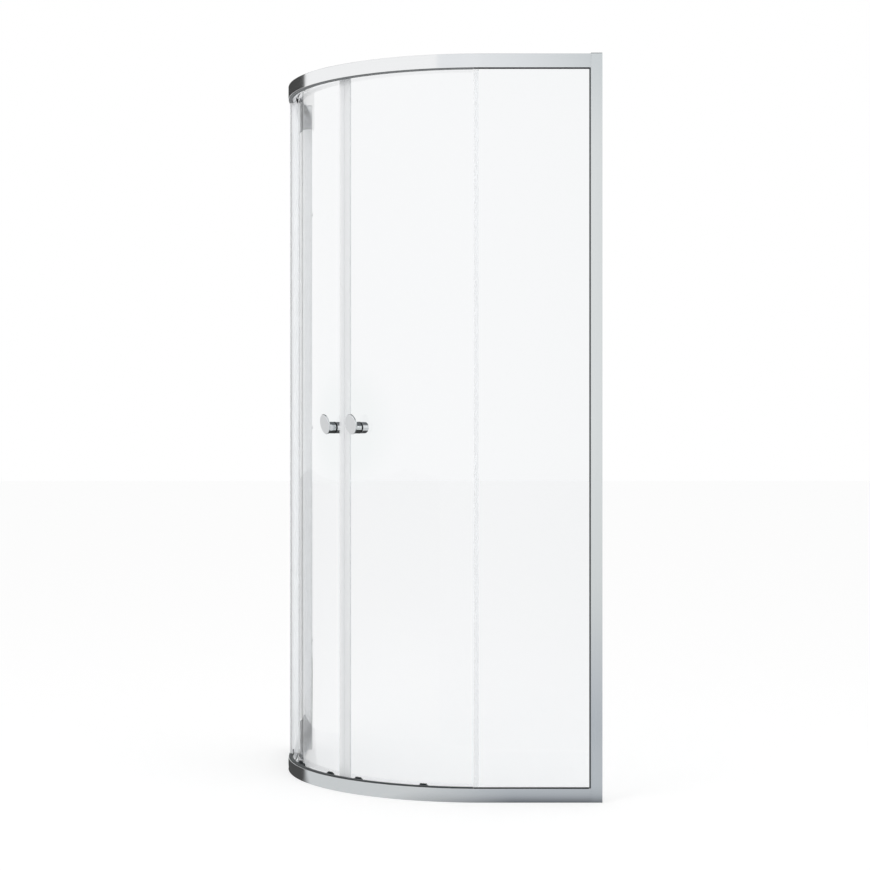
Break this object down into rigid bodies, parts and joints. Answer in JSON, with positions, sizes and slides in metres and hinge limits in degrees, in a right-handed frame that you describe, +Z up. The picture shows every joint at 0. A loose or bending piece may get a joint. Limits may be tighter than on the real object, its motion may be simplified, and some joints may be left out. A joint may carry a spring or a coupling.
{
  "type": "quadrant shower enclosure",
  "caption": "Quadrant shower enclosure: flat fixed glass sides, curved sliding glass doors on rollers with knob handles, bright aluminium rails and wall profiles.",
  "frame": {"origin": "centre of the footprint of the closed enclosure, on the plane of the tray", "axes": "+Z up; the flat side with the right wall profile runs along +X and faces -Y, the flat side with the left wall profile runs along +Y and faces -X, and the curved doors face -X -Y"},
  "size_m": [0.86, 0.86, 1.95],
  "materials": {
    "bright_aluminium": "bright polished and anodised",
    "clear_glass": "clear toughened glass, polished edges",
    "black_rubber": "matt black EPDM",
    "clear_pvc": "translucent extruded PVC",
    "magnet": "bonded magnetic strip",
    "chrome": "polished chrome plate",
    "dark_plastic": "moulded, fine grain",
    "grey_plastic": "moulded, satin",
    "white_nylon": "turned nylon",
    "steel": "stainless, plain"
  },
  "bodies": {
    "frame": {"bottom_groove_strip": "black_rubber", "bottom_rail": "bright_aluminium", "bottom_rail_gaskets": "black_rubber", "door_stops": "black_rubber", "fixed_edge_seal_left": "clear_pvc", "fixed_edge_seal_right": "clear_pvc", "fixed_glass_left": "clear_glass", "fixed_glass_right": "clear_glass", "jamb_gasket_left": "black_rubber", "jamb_gasket_right": "black_rubber", "jamb_profile_left": "bright_aluminium", "jamb_profile_right": "bright_aluminium", "jamb_screws": "steel", "profile_caps": "grey_plastic", "rail_end_screws": "steel", "top_groove_strip": "black_rubber", "top_rail": "bright_aluminium", "top_rail_gaskets": "black_rubber", "wall_profile_left": "bright_aluminium", "wall_profile_right": "bright_aluminium"},
    "door_right": {"door_glass_right": "clear_glass", "magnetic_seal_right": "clear_pvc", "magnet_strip_right": "magnet", "trailing_seal_right": "clear_pvc", "outer_handle_right": "chrome", "inner_knob_right": "chrome", "handle_stud_right": "steel", "glass_rings_right": "black_rubber", "top_roller_hubs_right": "steel", "top_roller_caps_right": "steel", "bottom_roller_housings_right": "dark_plastic", "bottom_roller_caps_right": "dark_plastic", "bottom_spring_lead_right": "steel", "bottom_spring_trail_right": "steel"},
    "top_wheel_lead_right": {"top_wheel_lead_right": "white_nylon"},
    "bottom_slider_lead_right": {"bottom_slider_lead_right": "dark_plastic"},
    "bottom_wheel_lead_right": {"bottom_wheel_lead_right": "white_nylon"},
    "top_wheel_trail_right": {"top_wheel_trail_right": "white_nylon"},
    "bottom_slider_trail_right": {"bottom_slider_trail_right": "dark_plastic"},
    "bottom_wheel_trail_right": {"bottom_wheel_trail_right": "white_nylon"},
    "door_left": {"door_glass_left": "clear_glass", "magnetic_seal_left": "clear_pvc", "magnet_strip_left": "magnet", "trailing_seal_left": "clear_pvc", "outer_handle_left": "chrome", "inner_knob_left": "chrome", "handle_stud_left": "steel", "glass_rings_left": "black_rubber", "top_roller_hubs_left": "steel", "top_roller_caps_left": "steel", "bottom_roller_housings_left": "dark_plastic", "bottom_roller_caps_left": "dark_plastic", "bottom_spring_lead_left": "steel", "bottom_spring_trail_left": "steel"},
    "top_wheel_lead_left": {"top_wheel_lead_left": "white_nylon"},
    "bottom_slider_lead_left": {"bottom_slider_lead_left": "dark_plastic"},
    "bottom_wheel_lead_left": {"bottom_wheel_lead_left": "white_nylon"},
    "top_wheel_trail_left": {"top_wheel_trail_left": "white_nylon"},
    "bottom_slider_trail_left": {"bottom_slider_trail_left": "dark_plastic"},
    "bottom_wheel_trail_left": {"bottom_wheel_trail_left": "white_nylon"}
  },
  "joints": [
    {"name": "door_right_slide_round", "type": "hinge", "parent": "frame", "child": "door_right", "pos_m": [0.12, 0.12, 0.975], "axis": [0, 0, 1], "range_deg": [0, 22]},
    {"name": "top_wheel_lead_right_roll", "type": "hinge", "parent": "door_right", "child": "top_wheel_lead_right", "pos_m": [-0.21392, -0.29383, 1.9258], "axis": [-0.628, -0.7782, 0], "range_deg": [-1070, 0]},
    {"name": "bottom_slider_lead_right_lift", "type": "slide", "parent": "door_right", "child": "bottom_slider_lead_right", "axis": [0, 0, 1], "range_m": [0, 0.006], "stiffness_N_per_m": 600, "springref_m": -0.005, "deforming": ["bottom_spring_lead_right"]},
    {"name": "bottom_wheel_lead_right_roll", "type": "hinge", "parent": "bottom_slider_lead_right", "child": "bottom_wheel_lead_right", "pos_m": [-0.212, -0.29146, 0.0108], "axis": [-0.628, -0.7782, 0], "range_deg": [-1375, 0]},
    {"name": "top_wheel_trail_right_roll", "type": "hinge", "parent": "door_right", "child": "top_wheel_trail_right", "pos_m": [-0.03769, -0.38783, 1.9258], "axis": [-0.2965, -0.955, 0], "range_deg": [-1070, 0]},
    {"name": "bottom_slider_trail_right_lift", "type": "slide", "parent": "door_right", "child": "bottom_slider_trail_right", "axis": [0, 0, 1], "range_m": [0, 0.006], "stiffness_N_per_m": 600, "springref_m": -0.005, "deforming": ["bottom_spring_trail_right"]},
    {"name": "bottom_wheel_trail_right_roll", "type": "hinge", "parent": "bottom_slider_trail_right", "child": "bottom_wheel_trail_right", "pos_m": [-0.03678, -0.38492, 0.0108], "axis": [-0.2965, -0.955, 0], "range_deg": [-1375, 0]},
    {"name": "door_left_slide_round", "type": "hinge", "parent": "frame", "child": "door_left", "pos_m": [0.12, 0.12, 0.975], "axis": [0, 0, -1], "range_deg": [0, 22]},
    {"name": "top_wheel_lead_left_roll", "type": "hinge", "parent": "door_left", "child": "top_wheel_lead_left", "pos_m": [-0.29383, -0.21392, 1.9258], "axis": [-0.7782, -0.628, 0], "range_deg": [0, 1070]},
    {"name": "bottom_slider_lead_left_lift", "type": "slide", "parent": "door_left", "child": "bottom_slider_lead_left", "axis": [0, 0, 1], "range_m": [0, 0.006], "stiffness_N_per_m": 600, "springref_m": -0.005, "deforming": ["bottom_spring_lead_left"]},
    {"name": "bottom_wheel_lead_left_roll", "type": "hinge", "parent": "bottom_slider_lead_left", "child": "bottom_wheel_lead_left", "pos_m": [-0.29146, -0.212, 0.0108], "axis": [-0.7782, -0.628, 0], "range_deg": [0, 1375]},
    {"name": "top_wheel_trail_left_roll", "type": "hinge", "parent": "door_left", "child": "top_wheel_trail_left", "pos_m": [-0.38783, -0.03769, 1.9258], "axis": [-0.955, -0.2965, 0], "range_deg": [0, 1070]},
    {"name": "bottom_slider_trail_left_lift", "type": "slide", "parent": "door_left", "child": "bottom_slider_trail_left", "axis": [0, 0, 1], "range_m": [0, 0.006], "stiffness_N_per_m": 600, "springref_m": -0.005, "deforming": ["bottom_spring_trail_left"]},
    {"name": "bottom_wheel_trail_left_roll", "type": "hinge", "parent": "bottom_slider_trail_left", "child": "bottom_wheel_trail_left", "pos_m": [-0.38492, -0.03678, 0.0108], "axis": [-0.955, -0.2965, 0], "range_deg": [0, 1375]}
  ],
  "couplings": [
    {"joint": "top_wheel_lead_right_roll", "follows": "door_right_slide_round", "ratio": -48.341},
    {"joint": "bottom_wheel_lead_right_roll", "follows": "door_right_slide_round", "ratio": -62.2},
    {"joint": "top_wheel_trail_right_roll", "follows": "door_right_slide_round", "ratio": -48.341},
    {"joint": "bottom_wheel_trail_right_roll", "follows": "door_right_slide_round", "ratio": -62.2},
    {"joint": "top_wheel_lead_left_roll", "follows": "door_left_slide_round", "ratio": 48.341},
    {"joint": "bottom_wheel_lead_left_roll", "follows": "door_left_slide_round", "ratio": 62.2},
    {"joint": "top_wheel_trail_left_roll", "follows": "door_left_slide_round", "ratio": 48.341},
    {"joint": "bottom_wheel_trail_left_roll", "follows": "door_left_slide_round", "ratio": 62.2}
  ]
}
